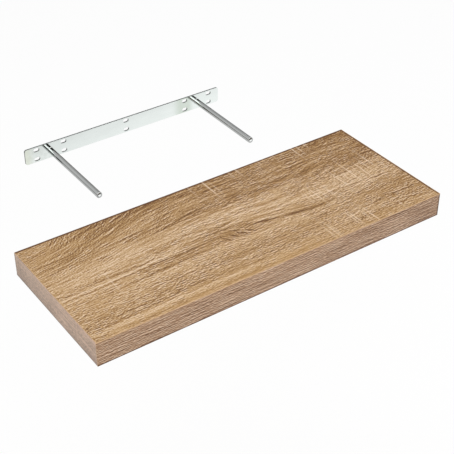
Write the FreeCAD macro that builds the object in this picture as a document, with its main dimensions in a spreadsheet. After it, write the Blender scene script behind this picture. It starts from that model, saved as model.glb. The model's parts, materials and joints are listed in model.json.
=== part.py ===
"""Floating wall shelf: a hollow oak-effect board that slides onto a steel wall bracket.

Frame: millimetres, +X to the right, +Y towards the wall, +Z up. The origin is the middle of the
bracket's wall face, so the wall is the plane Y = 0. The board is modelled pulled off the rods;
it slides along +Y until its rear edge meets the wall.
"""
import FreeCAD, Part
import math
import os
import Sketcher

# Driving sizes: alias, millimetres, meaning.
SIZES = (
    ("board_length", 600.0, "board, left to right"),
    ("board_depth", 235.0, "board, front to rear"),
    ("board_thickness", 40.0, "board, top to bottom"),
    ("skin_thickness", 3.0, "top and bottom fibreboard skins"),
    ("edge_band_thickness", 1.0, "edge bands on the front and the two ends"),
    ("edge_rounding", 0.5, "rounding of the bands' outer edges"),
    ("front_rail_width", 30.0, "front rail, front to rear"),
    ("rear_rail_width", 45.0, "rear rail, front to rear"),
    ("end_rail_width", 20.0, "end rails, left to right"),
    ("cross_rail_width", 50.0, "cross rails that carry the rods, left to right"),
    ("honeycomb_cell", 20.0, "honeycomb cell across its flats"),
    ("honeycomb_wall", 0.6, "glued double wall between two honeycomb cells"),
    ("honeycomb_clearance", 0.5, "least gap between the honeycomb and the rails"),
    ("plate_thickness", 3.0, "steel wall plate"),
    ("plate_corner_radius", 4.0, "corners of the wall plate"),
    ("plate_height_clearance", 3.0, "gap above and below the plate inside the board"),
    ("plate_recess_clearance", 1.5, "gap between the seated rear rail and the plate"),
    ("plate_end_margin", 21.0, "outer screw column to the end of the plate"),
    ("screw_slot_length", 10.5, "wall screw slots, end to end"),
    ("screw_slot_width", 6.5, "wall screw slots, across"),
    ("screw_edge_distance", 5.5, "screw row to the long edge of the plate"),
    ("screw_column_from_rod", 25.0, "screw columns to either side of a rod"),
    ("rod_spacing", 290.0, "rods, axis to axis"),
    ("rod_diameter", 10.0, "bracket rods"),
    ("rod_tip_margin", 67.0, "tip of a rod to the front of the seated board"),
    ("rod_tip_chamfer", 1.0, "chamfer at the tip of a rod"),
    ("tenon_diameter", 7.0, "tenon of a rod in the plate"),
    ("tenon_head_diameter", 9.0, "riveted head of the tenon, flush with the wall face"),
    ("socket_clearance", 1.0, "rod socket diameter over the rod's"),
    ("socket_end_clearance", 3.0, "rod tip to the blind end of its socket"),
    ("bracket_offset", 30.0, "middle of the bracket to the right of the board's middle"),
    ("pull_off_gap", 84.0, "rod tips to the rear edge of the pulled-off board"),
)

# Two places closer than this, in millimetres, are the same place.
TOUCH = 0.01

# Expressions that more than one piece needs.
RECESS_DEPTH = "(Sizes.plate_thickness + Sizes.plate_recess_clearance)"
ROD_LENGTH = "(Sizes.board_depth - Sizes.plate_thickness - Sizes.rod_tip_margin)"
ROD_X = "(Sizes.rod_spacing / 2)"
INNER_HEIGHT = "(Sizes.board_thickness - 2 * Sizes.skin_thickness)"
PLATE_HEIGHT = f"({INNER_HEIGHT} - 2 * Sizes.plate_height_clearance)"
BOARD_LEFT = "(-Sizes.board_length / 2 - Sizes.bracket_offset)"
BOARD_RIGHT = "(Sizes.board_length / 2 - Sizes.bracket_offset)"
BOARD_REAR = f"(-Sizes.plate_thickness - {ROD_LENGTH} - Sizes.pull_off_gap)"
BOARD_FRONT = f"({BOARD_REAR} - Sizes.board_depth)"
CORE_LEFT = f"({BOARD_LEFT} + Sizes.edge_band_thickness)"
CORE_FRONT = f"({BOARD_FRONT} + Sizes.edge_band_thickness)"
CORE_LENGTH = "(Sizes.board_length - 2 * Sizes.edge_band_thickness)"
CORE_DEPTH = "(Sizes.board_depth - Sizes.edge_band_thickness)"
BAY_LEFT = f"({CORE_LEFT} + Sizes.end_rail_width)"
BAY_RIGHT = f"({BOARD_RIGHT} - Sizes.edge_band_thickness - Sizes.end_rail_width)"
BAY_FRONT = f"({CORE_FRONT} + Sizes.front_rail_width)"
REAR_RAIL_BACK = f"({BOARD_REAR} - {RECESS_DEPTH})"
BAY_REAR = f"({REAR_RAIL_BACK} - Sizes.rear_rail_width)"
SOCKET_DIAMETER = "(Sizes.rod_diameter + Sizes.socket_clearance)"


def make_sheet(doc):
    """Write the driving sizes into the document's spreadsheet."""
    sheet = doc.addObject("Spreadsheet::Sheet", "Sizes")
    for row, (alias, value, meaning) in enumerate(SIZES, start=1):
        sheet.set(f"A{row}", meaning)
        sheet.set(f"B{row}", str(value))
        sheet.setAlias(f"B{row}", alias)
    reading = doc.addObject("App::FeaturePython", "Reading")
    reading.addProperty("App::PropertyFloat", "Number")
    doc.recompute()
    return sheet


def value_of(sheet, expression):
    """Read an expression on the sheet's sizes as a plain number."""
    reading = sheet.Document.Reading
    reading.setExpression("Number", expression)
    reading.recompute()
    return reading.Number


# ---------------------------------------------------------------- helpers

def place(piece, x="0", y="0", z="0"):
    """Bind a piece's position to the sheet."""
    for axis, expression in zip("xyz", (x, y, z)):
        piece.setExpression(f".Placement.Base.{axis}", f"({expression}) * 1 mm")


def make_box(doc, label, corner, extent):
    """Add a rectangular piece from its lowest corner and its three extents."""
    box = doc.addObject("Part::Box", label)
    for name, expression in zip(("Length", "Width", "Height"), extent):
        box.setExpression(name, f"({expression}) * 1 mm")
    place(box, *corner)
    return box


def make_body(doc, label, x="0", y="0", z="0"):
    """Add an empty PartDesign body."""
    body = doc.addObject("PartDesign::Body", label)
    place(body, x, y, z)
    return body


def make_sketch(body, plane, name):
    """Add a sketch on one of the body's own origin planes."""
    sketch = body.newObject("Sketcher::SketchObject", name)
    support = next(f for f in body.Origin.OriginFeatures if f.Role == plane)
    sketch.AttachmentSupport = (support, [""])
    sketch.MapMode = "FlatFace"
    return sketch


def pin_point(sketch, geometry, point, x, y, place_now):
    """Fix a sketch point to two expressions measured from the sketch's origin."""
    for kind, axis_line, expression, value in (
        ("DistanceX", -2, x, place_now.x),
        ("DistanceY", -1, y, place_now.y),
    ):
        if expression == "0":
            sketch.addConstraint(Sketcher.Constraint("PointOnObject", geometry, point, axis_line))
            continue
        constraint = Sketcher.Constraint(kind, -1, 1, geometry, point, value)
        index = sketch.addConstraint(constraint)
        sketch.setExpression(f"Constraints[{index}]", f"({expression}) * 1 mm")


def add_polygon(sheet, sketch, corners):
    """Add a closed outline whose corners are pairs of expressions."""
    points = [
        FreeCAD.Vector(value_of(sheet, x), value_of(sheet, y), 0)
        for x, y in corners
    ]
    count = len(points)
    lines = []
    for i in range(count):
        lines.append(sketch.addGeometry(Part.LineSegment(points[i], points[(i + 1) % count])))
    for i in range(count):
        joint = Sketcher.Constraint("Coincident", lines[i], 2, lines[(i + 1) % count], 1)
        sketch.addConstraint(joint)
    for line, point, (x, y) in zip(lines, points, corners):
        pin_point(sketch, line, 1, x, y, point)


def add_rectangle(sheet, sketch, left, right, bottom, top):
    """Add a rectangle from its four sides."""
    add_polygon(sheet, sketch, ((left, bottom), (right, bottom), (right, top), (left, top)))


def add_circle(sheet, sketch, x, y, diameter):
    """Add a circle with its centre and diameter bound to the sheet."""
    centre = FreeCAD.Vector(value_of(sheet, x), value_of(sheet, y), 0)
    radius = value_of(sheet, diameter) / 2
    circle = sketch.addGeometry(Part.Circle(centre, FreeCAD.Vector(0, 0, 1), radius))
    pin_point(sketch, circle, 3, x, y, centre)
    index = sketch.addConstraint(Sketcher.Constraint("Diameter", circle, 2 * radius))
    sketch.setExpression(f"Constraints[{index}]", f"({diameter}) * 1 mm")


def add_slot(sheet, sketch, x, y, length, width):
    """Add a slot along the sketch's X with its centre, length and width bound to the sheet."""
    shift = f"(({length}) - ({width})) / 2"
    radius = value_of(sheet, width) / 2
    upright = FreeCAD.Vector(0, 0, 1)
    arcs = []
    centres = []
    for side, first_angle in (("-", math.pi / 2), ("+", -math.pi / 2)):
        end_x = f"{x} {side} {shift}"
        centre = FreeCAD.Vector(value_of(sheet, end_x), value_of(sheet, y), 0)
        round_end = Part.ArcOfCircle(
            Part.Circle(centre, upright, radius), first_angle, first_angle + math.pi
        )
        arcs.append(sketch.addGeometry(round_end))
        centres.append((end_x, centre))
    (_, left), (_, right) = centres
    rise = FreeCAD.Vector(0, radius, 0)
    lower = sketch.addGeometry(Part.LineSegment(left - rise, right - rise))
    upper = sketch.addGeometry(Part.LineSegment(right + rise, left + rise))
    for before, after in ((arcs[0], lower), (lower, arcs[1]), (arcs[1], upper), (upper, arcs[0])):
        sketch.addConstraint(Sketcher.Constraint("Tangent", before, 2, after, 1))
    sketch.addConstraint(Sketcher.Constraint("Equal", arcs[0], arcs[1]))
    for arc, (end_x, centre) in zip(arcs, centres):
        pin_point(sketch, arc, 3, end_x, y, centre)
    index = sketch.addConstraint(Sketcher.Constraint("Diameter", arcs[0], 2 * radius))
    sketch.setExpression(f"Constraints[{index}]", f"({width}) * 1 mm")


def add_upright_axis(sheet, sketch, x):
    """Add a construction line along the sketch's Y, from the outline's first corner."""
    start = FreeCAD.Vector(value_of(sheet, x), 0, 0)
    end = start + FreeCAD.Vector(0, 10, 0)
    line = sketch.addGeometry(Part.LineSegment(start, end), True)
    sketch.addConstraint(Sketcher.Constraint("Coincident", line, 1, 0, 1))
    sketch.addConstraint(Sketcher.Constraint("Vertical", line))
    return (sketch, ["Axis0"])


def add_pad(body, sketch, length):
    """Extrude a sketch along its normal."""
    pad = body.newObject("PartDesign::Pad", sketch.Name + "_pad")
    pad.Profile = sketch
    pad.setExpression("Length", f"({length}) * 1 mm")
    return pad


def add_through_pocket(body, sketch):
    """Cut a sketch right through the body, both ways from its plane."""
    pocket = body.newObject("PartDesign::Pocket", sketch.Name + "_pocket")
    pocket.Profile = sketch
    pocket.Type = "ThroughAll"
    pocket.Midplane = True
    return pocket


def add_blind_pocket(body, sketch, depth):
    """Cut a sketch to a depth along its normal."""
    pocket = body.newObject("PartDesign::Pocket", sketch.Name + "_pocket")
    pocket.Profile = sketch
    pocket.Reversed = True
    pocket.setExpression("Length", f"({depth}) * 1 mm")
    return pocket


def add_fillet(doc, body, base, wanted, radius):
    """Round the edges of a feature whose bounding boxes pass a test."""
    doc.recompute()
    edges = [
        f"Edge{number}"
        for number, edge in enumerate(base.Shape.Edges, start=1)
        if wanted(edge.BoundBox)
    ]
    fillet = body.newObject("PartDesign::Fillet", base.Name + "_fillet")
    fillet.Base = (base, edges)
    fillet.setExpression("Radius", f"({radius}) * 1 mm")
    return fillet


# ---------------------------------------------------------------- bracket

def tenon_outline(axis_x):
    """Half outline of a riveted tenon from the wall face to the plate's front face."""
    head = f"({axis_x} + Sizes.tenon_head_diameter / 2)"
    neck = f"({axis_x} + Sizes.tenon_diameter / 2)"
    flare = "((Sizes.tenon_head_diameter - Sizes.tenon_diameter) / 2)"
    return (
        (axis_x, "0"),
        (head, "0"),
        (neck, f"-{flare}"),
        (neck, "-Sizes.plate_thickness"),
    )


def make_wall_plate(doc, sheet):
    """Flat steel plate: rounded corners, five pairs of screw slots, two riveted rod seats."""
    column = f"({ROD_X} + Sizes.screw_column_from_rod)"
    half_length = f"({column} + Sizes.plate_end_margin)"
    half_height = f"({PLATE_HEIGHT} / 2)"
    row = f"({half_height} - Sizes.screw_edge_distance)"

    body = make_body(doc, "wall_plate")
    outline = make_sketch(body, "XZ_Plane", "plate_outline")
    add_rectangle(sheet, outline, f"-{half_length}", half_length, f"-{half_height}", half_height)
    pad = add_pad(body, outline, "Sizes.plate_thickness")
    add_fillet(
        doc, body, pad, lambda box: box.XLength + box.ZLength < TOUCH, "Sizes.plate_corner_radius"
    )

    slots = make_sketch(body, "XZ_Plane", "screw_slots")
    inner_column = f"({ROD_X} - Sizes.screw_column_from_rod)"
    for x in (f"-{column}", f"-{inner_column}", "0", inner_column, column):
        for z in (f"-{row}", row):
            add_slot(sheet, slots, x, z, "Sizes.screw_slot_length", "Sizes.screw_slot_width")
    add_through_pocket(body, slots)

    seat = make_sketch(body, "XY_Plane", "rod_seat")
    add_polygon(sheet, seat, tenon_outline(ROD_X) + ((ROD_X, "-Sizes.plate_thickness"),))
    axis = add_upright_axis(sheet, seat, ROD_X)
    groove = body.newObject("PartDesign::Groove", "rod_seat_groove")
    groove.Profile = seat
    groove.ReferenceAxis = axis
    groove.Angle = 360
    mirror = body.newObject("PartDesign::Mirrored", "rod_seat_mirror")
    mirror.Originals = [groove]
    mirror.MirrorPlane = (slots, ["V_Axis"])
    body.Tip = mirror
    return body


def make_rod(doc, sheet, label, x):
    """Round steel rod: chamfered tip, and a tenon riveted flush into the plate."""
    radius = "(Sizes.rod_diameter / 2)"
    tip = f"(Sizes.plate_thickness + {ROD_LENGTH})"
    body = make_body(doc, label, x=x)
    profile = make_sketch(body, "XY_Plane", label + "_profile")
    add_polygon(sheet, profile, tenon_outline("0") + (
        (radius, "-Sizes.plate_thickness"),
        (radius, f"-({tip} - Sizes.rod_tip_chamfer)"),
        (f"({radius} - Sizes.rod_tip_chamfer)", f"-{tip}"),
        ("0", f"-{tip}"),
    ))
    revolution = body.newObject("PartDesign::Revolution", label + "_revolution")
    revolution.Profile = profile
    revolution.ReferenceAxis = (profile, ["V_Axis"])
    revolution.Angle = 360
    return body


# ---------------------------------------------------------------- board

def make_skins(doc):
    """Top and bottom fibreboard skins, printed on their outer faces."""
    extent = (CORE_LENGTH, CORE_DEPTH, "Sizes.skin_thickness")
    upper_face = "(Sizes.board_thickness / 2 - Sizes.skin_thickness)"
    top = make_box(doc, "top_skin", (CORE_LEFT, CORE_FRONT, upper_face), extent)
    lower_face = "(-Sizes.board_thickness / 2)"
    bottom = make_box(doc, "bottom_skin", (CORE_LEFT, CORE_FRONT, lower_face), extent)
    return [top, bottom]


def make_plain_rails(doc):
    """Chipboard rails with no holes: the front rail and the two end rails."""
    bottom = f"(-{INNER_HEIGHT} / 2)"
    front = make_box(
        doc, "front_rail", (CORE_LEFT, CORE_FRONT, bottom),
        (CORE_LENGTH, "Sizes.front_rail_width", INNER_HEIGHT),
    )
    end_extent = ("Sizes.end_rail_width", f"({BOARD_REAR} - {BAY_FRONT})", INNER_HEIGHT)
    left = make_box(doc, "left_end_rail", (CORE_LEFT, BAY_FRONT, bottom), end_extent)
    right = make_box(doc, "right_end_rail", (BAY_RIGHT, BAY_FRONT, bottom), end_extent)
    return [front, left, right]


def make_rear_rail(doc, sheet):
    """Rear rail: set in to make room for the wall plate, bored through for both rods."""
    half_height = f"({INNER_HEIGHT} / 2)"
    body = make_body(doc, "rear_rail", y=REAR_RAIL_BACK)
    section = make_sketch(body, "XZ_Plane", "rear_rail_section")
    add_rectangle(sheet, section, BAY_LEFT, BAY_RIGHT, f"-{half_height}", half_height)
    add_pad(body, section, "Sizes.rear_rail_width")
    bores = make_sketch(body, "XZ_Plane", "rear_rail_bores")
    for x in (f"-{ROD_X}", ROD_X):
        add_circle(sheet, bores, x, "0", SOCKET_DIAMETER)
    add_through_pocket(body, bores)
    return body


def make_cross_rail(doc, sheet, label, x):
    """Cross rail behind a bore of the rear rail, holding the blind end of the rod's socket."""
    half_width = "(Sizes.cross_rail_width / 2)"
    half_height = f"({INNER_HEIGHT} / 2)"
    socket_depth = (
        f"(Sizes.plate_thickness + {ROD_LENGTH} + Sizes.socket_end_clearance"
        f" - {RECESS_DEPTH} - Sizes.rear_rail_width)"
    )
    body = make_body(doc, label, x=x, y=BAY_REAR)
    section = make_sketch(body, "XZ_Plane", label + "_section")
    add_rectangle(sheet, section, f"-{half_width}", half_width, f"-{half_height}", half_height)
    add_pad(body, section, f"({BAY_REAR} - {BAY_FRONT})")
    socket = make_sketch(body, "XZ_Plane", label + "_socket")
    add_circle(sheet, socket, "0", "0", SOCKET_DIAMETER)
    add_blind_pocket(body, socket, socket_depth)
    return body


def hexagon(centre_x, centre_y, flats):
    """Flat-topped hexagonal face, given its size across the flats."""
    radius = flats / math.sqrt(3)
    corners = [
        FreeCAD.Vector(
            centre_x + radius * math.cos(math.radians(60 * i)),
            centre_y + radius * math.sin(math.radians(60 * i)),
            0,
        )
        for i in range(7)
    ]
    return Part.Face(Part.makePolygon(corners))


def cell_centres(width, depth, pitch):
    """Centres of the cells that fit whole in a rectangle about the origin."""
    side = pitch / math.sqrt(3)
    columns = int((width - 2 * side) // (1.5 * side)) + 1
    rows = int(depth // pitch)
    centres = []
    for column in range(columns):
        x = (column - (columns - 1) / 2) * 1.5 * side
        count = rows - column % 2
        for row in range(count):
            centres.append((x, (row - (count - 1) / 2) * pitch))
    return centres


def make_honeycomb(doc, sheet, label, left, right):
    """Paper honeycomb that fills one bay between two rails and both skins."""
    clearance = value_of(sheet, "Sizes.honeycomb_clearance")
    cell = value_of(sheet, "Sizes.honeycomb_cell")
    pitch = cell + value_of(sheet, "Sizes.honeycomb_wall")
    height = value_of(sheet, INNER_HEIGHT)
    left = value_of(sheet, left) + clearance
    right = value_of(sheet, right) - clearance
    front = value_of(sheet, BAY_FRONT) + clearance
    rear = value_of(sheet, BAY_REAR) - clearance

    centres = cell_centres(right - left, rear - front, pitch)
    tiles = [hexagon(x, y, pitch) for x, y in centres]
    whole = tiles[0].multiFuse(tiles[1:]).removeSplitter()
    section = whole.cut([hexagon(x, y, cell) for x, y in centres])
    panel = doc.addObject("Part::Feature", label)
    panel.Shape = section.Faces[0].extrude(FreeCAD.Vector(0, 0, height))
    panel.Placement.Base = FreeCAD.Vector((left + right) / 2, (front + rear) / 2, -height / 2)
    return panel


def make_edge_band(doc, sheet, label, corner, sides, on_outer_face):
    """Edge band as tall as the board, with the edges of its visible face slightly rounded."""
    body = make_body(doc, label, *corner)
    outline = make_sketch(body, "XY_Plane", label + "_outline")
    add_rectangle(sheet, outline, *sides)
    pad = add_pad(body, outline, "Sizes.board_thickness")
    pad.Midplane = True
    add_fillet(doc, body, pad, on_outer_face, "Sizes.edge_rounding")
    return body


def make_edge_bands(doc, sheet):
    """Front band over the full length, and the end bands behind it."""
    band = "Sizes.edge_band_thickness"
    front = make_edge_band(
        doc, sheet, "front_edge_band", (BOARD_LEFT, BOARD_FRONT),
        ("0", "Sizes.board_length", "0", band), lambda box: box.YMax < TOUCH,
    )
    left = make_edge_band(
        doc, sheet, "left_edge_band", (BOARD_LEFT, CORE_FRONT),
        ("0", band, "0", CORE_DEPTH), lambda box: box.XMax < TOUCH,
    )
    right = make_edge_band(
        doc, sheet, "right_edge_band", (BOARD_RIGHT, CORE_FRONT),
        (f"-{band}", "0", "0", CORE_DEPTH), lambda box: box.XMin > -TOUCH,
    )
    return [front, left, right]


# ---------------------------------------------------------------- the whole shelf

def make_shelf(doc):
    """Build every piece of the bracket and the board."""
    sheet = make_sheet(doc)
    pieces = [
        make_wall_plate(doc, sheet),
        make_rod(doc, sheet, "left_rod", f"-{ROD_X}"),
        make_rod(doc, sheet, "right_rod", ROD_X),
    ]
    pieces += make_skins(doc)
    pieces += make_plain_rails(doc)
    pieces.append(make_rear_rail(doc, sheet))
    pieces.append(make_cross_rail(doc, sheet, "left_cross_rail", f"-{ROD_X}"))
    pieces.append(make_cross_rail(doc, sheet, "right_cross_rail", ROD_X))

    half_cross = "Sizes.cross_rail_width / 2"
    bays = (
        ("left_honeycomb", BAY_LEFT, f"(-{ROD_X} - {half_cross})"),
        ("middle_honeycomb", f"(-{ROD_X} + {half_cross})", f"({ROD_X} - {half_cross})"),
        ("right_honeycomb", f"({ROD_X} + {half_cross})", BAY_RIGHT),
    )
    for label, left, right in bays:
        pieces.append(make_honeycomb(doc, sheet, label, left, right))
    pieces += make_edge_bands(doc, sheet)
    return pieces


def check_document(doc, pieces):
    """Stop on any failed feature and any piece that isn't one valid solid."""
    for item in doc.Objects:
        if "Invalid" in item.State or "Error" in item.State:
            raise RuntimeError(f"{item.Label} failed: {item.State}")
    for piece in pieces:
        shape = piece.Shape
        if shape.isNull() or not shape.isValid() or len(shape.Solids) != 1:
            raise RuntimeError(f"{piece.Label} is not one valid solid")


def main():
    doc = FreeCAD.newDocument("floating_wall_shelf")
    pieces = make_shelf(doc)
    doc.recompute()
    check_document(doc, pieces)
    os.makedirs("parts", exist_ok=True)
    for piece in pieces:
        piece.Shape.exportStep(f"parts/{piece.Label}.step")
        box = piece.Shape.BoundBox
        print(
            f"{piece.Label:18s} {piece.Shape.Volume / 1000:9.2f} cm3"
            f"  X {box.XMin:8.2f} {box.XMax:8.2f}"
            f"  Y {box.YMin:8.2f} {box.YMax:8.2f}"
            f"  Z {box.ZMin:7.2f} {box.ZMax:7.2f}"
        )


main()
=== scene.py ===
"""Floating wall shelf: an oak-effect hollow board drawn off its zinc-plated wall bracket.

Everything is in metres. +X is to the right, +Y is towards the wall and +Z is up. The origin is the
middle of the bracket's wall face, so the wall is the plane Y = 0.
"""
import json
import math

import bmesh
import bpy
from mathutils import Matrix, Vector


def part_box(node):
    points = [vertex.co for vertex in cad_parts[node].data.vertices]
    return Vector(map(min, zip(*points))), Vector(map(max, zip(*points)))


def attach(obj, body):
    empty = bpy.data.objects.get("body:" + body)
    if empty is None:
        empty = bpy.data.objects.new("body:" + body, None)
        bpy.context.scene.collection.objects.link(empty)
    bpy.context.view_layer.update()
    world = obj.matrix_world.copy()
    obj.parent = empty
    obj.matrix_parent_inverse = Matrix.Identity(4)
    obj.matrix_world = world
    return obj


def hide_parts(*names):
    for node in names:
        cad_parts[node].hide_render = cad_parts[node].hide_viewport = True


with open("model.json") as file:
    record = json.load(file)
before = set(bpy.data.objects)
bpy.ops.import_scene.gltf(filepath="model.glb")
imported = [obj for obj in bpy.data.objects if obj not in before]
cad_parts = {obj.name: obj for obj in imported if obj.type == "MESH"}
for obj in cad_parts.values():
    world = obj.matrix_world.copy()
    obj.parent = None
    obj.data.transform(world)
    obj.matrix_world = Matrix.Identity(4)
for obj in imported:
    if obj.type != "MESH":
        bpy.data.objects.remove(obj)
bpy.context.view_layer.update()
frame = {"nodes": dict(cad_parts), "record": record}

bl_info = {
    "name": "Floating wall shelf",
    "version": (1, 0, 0),
    "blender": (4, 5, 0),
    "location": "3D View > Sidebar > Shelf",
    "description": "Builds a hollow oak-effect shelf board, its wall bracket and a plain studio",
    "category": "Add Mesh",
}

MM = 0.001

# Radii of the hole in the wall plate round a tenon, of the tenon, and of a rod's socket.
SEAT_RADIUS = 0.0048
TENON_RADIUS = 0.0046
SOCKET_RADIUS = 0.0055
# How far a drill starts in front of a piece and ends behind it.
DRILL_OVERSHOOT = 0.002
# Vertices nearer to each other than WELD become one; nearer to a plane than HAIR, they lie on it.
WELD = 0.000005
HAIR = 0.00001


# ---------------------------------------------------------------------------------------------
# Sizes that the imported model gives
# ---------------------------------------------------------------------------------------------

def slot_places():
    """The wall screw slots, as (x, z, radius, half the distance between their round ends): the
    record's two patterns, and the same pair in the middle of the plate."""
    patterns = [mount["dims"] for mount in frame["record"]["mounts"]
                if mount["kind"] == "bolt_pattern"]
    places = []
    for size in patterns + [dict(patterns[0], spacing_x_mm=0.0)]:
        radius = size["hole_r_mm"] * MM
        reach = size["slot_length_mm"] * MM / 2 - radius
        for x in sorted({-size["spacing_x_mm"] * MM / 2, size["spacing_x_mm"] * MM / 2}):
            for z in (-size["spacing_y_mm"] * MM / 2, size["spacing_y_mm"] * MM / 2):
                places.append((x, z, radius, reach))
    return places


def rod_axis(node):
    """The X of a rod's axis."""
    low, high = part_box(node)
    return (low.x + high.x) / 2


def board_middle():
    """The middle of the board, from its two skins."""
    low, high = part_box("top_skin")
    return Vector(((low.x + high.x) / 2, (low.y + high.y) / 2, 0.0))


def paint(red, green, blue):
    """A colour as it reads on a screen, 0 to 255, made linear."""
    values = []
    for part in (red, green, blue):
        part /= 255
        values.append(part / 12.92 if part <= 0.04045 else ((part + 0.055) / 1.055) ** 2.4)
    return tuple(values)


# ---------------------------------------------------------------------------------------------
# What a user would change
# ---------------------------------------------------------------------------------------------

def length(name, description, default):
    """A size in metres."""
    return bpy.props.FloatProperty(
        name=name, description=description, default=default, min=0.0,
        precision=5, unit="LENGTH", subtype="DISTANCE")


def colour(name, description, default):
    """A colour that the sidebar shows as a swatch."""
    return bpy.props.FloatVectorProperty(
        name=name, description=description, default=default, size=3, min=0.0, max=1.0,
        subtype="COLOR")


class ShelfSizes(bpy.types.PropertyGroup):
    """Sizes of the edges and of the studio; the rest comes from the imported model."""

    band_rounding: length("Band rounding", "Radius along the edge bands' outer edges", 0.0005)
    skin_rounding: length("Skin edge", "Width of the sanded edge of the board's skins", 0.0002)
    rail_rounding: length("Rail edge", "Width of the broken edges of the chipboard rails", 0.0003)
    plate_corner: length("Plate corner", "Radius of the wall plate's corners", 0.004)
    plate_rounding: length("Plate edge", "Width of the broken edges of the wall plate", 0.0003)
    rod_dome: length("Rod tip", "Height of the slightly domed tip of a rod", 0.0005)
    rod_rounding: length("Rod rounding", "Radius round the tip of a rod", 0.001)
    floor_drop: length("Floor drop", "From the middle of the bracket down to the floor", 0.62)


class ShelfColours(bpy.types.PropertyGroup):
    """Colours of the finishes."""

    oak_dark: colour("Oak, dark", "Darkest grain of the oak print", paint(94, 54, 8))
    oak_brown: colour("Oak, brown", "Brown grain of the oak print", paint(138, 98, 46))
    oak_middle: colour("Oak, middle", "Main tone of the oak print", paint(175, 139, 91))
    oak_light: colour("Oak, light", "Light grain of the oak print", paint(200, 168, 130))
    oak_cream: colour("Oak, cream", "Saw marks and palest grain", paint(225, 200, 172))
    oak_amber: colour("Oak, amber", "Yellow tint of the oak print", paint(186, 146, 90))
    front_dark: colour("Front band, dark", "Dark streaks of the front band", paint(101, 63, 26))
    front_middle: colour("Front band", "Main tone of the front band", paint(169, 131, 98))
    front_light: colour("Front band, light", "Palest streaks of the band", paint(222, 193, 165))
    end_dark: colour("End band, dark", "Shaded mottle of the end bands", paint(150, 128, 112))
    end_light: colour("End band, light", "Main tone of the end bands", paint(216, 186, 162))
    end_blush: colour("End band, blush", "Pink clouds of the end bands", paint(190, 158, 144))
    # Also the pale line along the front band's top edge, which is partly a painted highlight.
    band_edge: colour("Band edge", "Trimmed edge of the bands", paint(212, 174, 132))
    chip_dark: colour("Chipboard, dark", "Darkest chips", paint(132, 98, 62))
    chip_light: colour("Chipboard, light", "Palest chips", paint(216, 190, 148))
    chip_red: colour("Chipboard, red", "Tint of the reddest chips", paint(176, 122, 78))
    # Painted shade in the small holes between the chips.
    chip_hole_painted_shade: colour("Chipboard, holes", "Small holes between the chips", paint(78, 54, 34))
    fibre: colour("Fibreboard", "Sawn edge of the skins", paint(170, 134, 96))
    kraft: colour("Kraft paper", "Honeycomb core", paint(186, 152, 112))
    kraft_fleck: colour("Kraft paper, flecks", "Flecks in the core's paper", paint(112, 80, 50))
    zinc_plate: colour("Plate zinc", "Bright zinc on the wall plate", (0.755, 0.80, 0.78))
    zinc_bloom: colour("Plate zinc, bloom", "Dull clouds near the left end", (0.60, 0.645, 0.60))
    zinc_yellow: colour("Plate zinc, yellow", "Tint of the left end", (0.74, 0.77, 0.62))
    zinc_green: colour("Plate zinc, green", "Tint left of the right rod", (0.58, 0.655, 0.57))
    zinc_rod: colour("Rod zinc", "Bright zinc on the rods", (0.78, 0.80, 0.79))


# ---------------------------------------------------------------------------------------------
# Shader nodes
# ---------------------------------------------------------------------------------------------

class Pin:
    """A node's output that sums and products can be written with, each adding its Math node."""

    def __init__(self, tree, socket=None):
        self.tree, self.socket = tree, socket

    def node(self, kind, settings=None, values=None, output=0):
        """Adds any node to the tree: its settings first, then its sockets' values or links."""
        made = self.tree.nodes.new("ShaderNode" + kind)
        for name, setting in (settings or {}).items():
            if name == "stops":
                ramp = made.color_ramp
                while len(ramp.elements) < len(setting):
                    ramp.elements.new(0.5)
                for element, (at, tone) in zip(ramp.elements, setting):
                    element.position, element.color = at, (*tone, 1.0)
            else:
                setattr(made, name, setting)
        for name, value in (values or {}).items():
            socket = made.inputs[name]
            if isinstance(value, Pin):
                self.tree.links.new(value.socket, socket)
            else:
                socket.default_value = (*value, 1.0) if socket.type == "RGBA" else value
        return Pin(self.tree, made.outputs[output] if made.outputs else None)

    def maths(self, operation, *values):
        """A Math node on values or pins."""
        return self.node("Math", {"operation": operation}, dict(enumerate(values)))

    def __add__(self, other):
        return self.maths("ADD", self, other)

    def __radd__(self, other):
        return self.maths("ADD", other, self)

    def __sub__(self, other):
        return self.maths("SUBTRACT", self, other)

    def __rsub__(self, other):
        return self.maths("SUBTRACT", other, self)

    def __mul__(self, other):
        return self.maths("MULTIPLY", self, other)

    def __rmul__(self, other):
        return self.maths("MULTIPLY", other, self)

    def __truediv__(self, other):
        return self.maths("DIVIDE", self, other)

    def __rtruediv__(self, other):
        return self.maths("DIVIDE", other, self)

    def step(self, low, high):
        """0 below low, 1 above high and smooth between them."""
        return self.node("MapRange", {"interpolation_type": "SMOOTHSTEP"},
                         {"Value": self, "From Min": low, "From Max": high})

    def split(self):
        """The three numbers of a vector."""
        parts = self.node("SeparateXYZ", values={"Vector": self}).socket.node
        return [Pin(self.tree, socket) for socket in parts.outputs]

    def vector(self, x, y, z=0.0):
        """A vector from three values or pins."""
        return self.node("CombineXYZ", values={"X": x, "Y": y, "Z": z})

    def noise(self, vector, scale=1.0, detail=2.0, rough=0.5):
        """Cloudy noise from about 0.2 to 0.8, at a vector or at two or three values or pins."""
        place = vector if isinstance(vector, Pin) else self.vector(*vector)
        return self.node("TexNoise", {"noise_dimensions": "3D"},
                         {"Vector": place, "Scale": scale, "Detail": detail,
                          "Roughness": rough}, "Fac")

    def blend(self, factor, first, second):
        """A colour between two colours."""
        return self.node("Mix", {"data_type": "RGBA"}, {0: factor, 6: first, 7: second}, 2)

    def ramp(self, *stops):
        """The colour of this value, by pairs of a value from 0 to 1 and its colour."""
        return self.node("ValToRGB", {"stops": stops}, {"Fac": self}, "Color")

    def cells(self, vector, feature="F1", output="Distance"):
        """Cells that fill space, as flakes or grains."""
        return self.node("TexVoronoi", {"feature": feature},
                         {"Vector": vector, "Scale": 1.0}, output)


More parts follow.
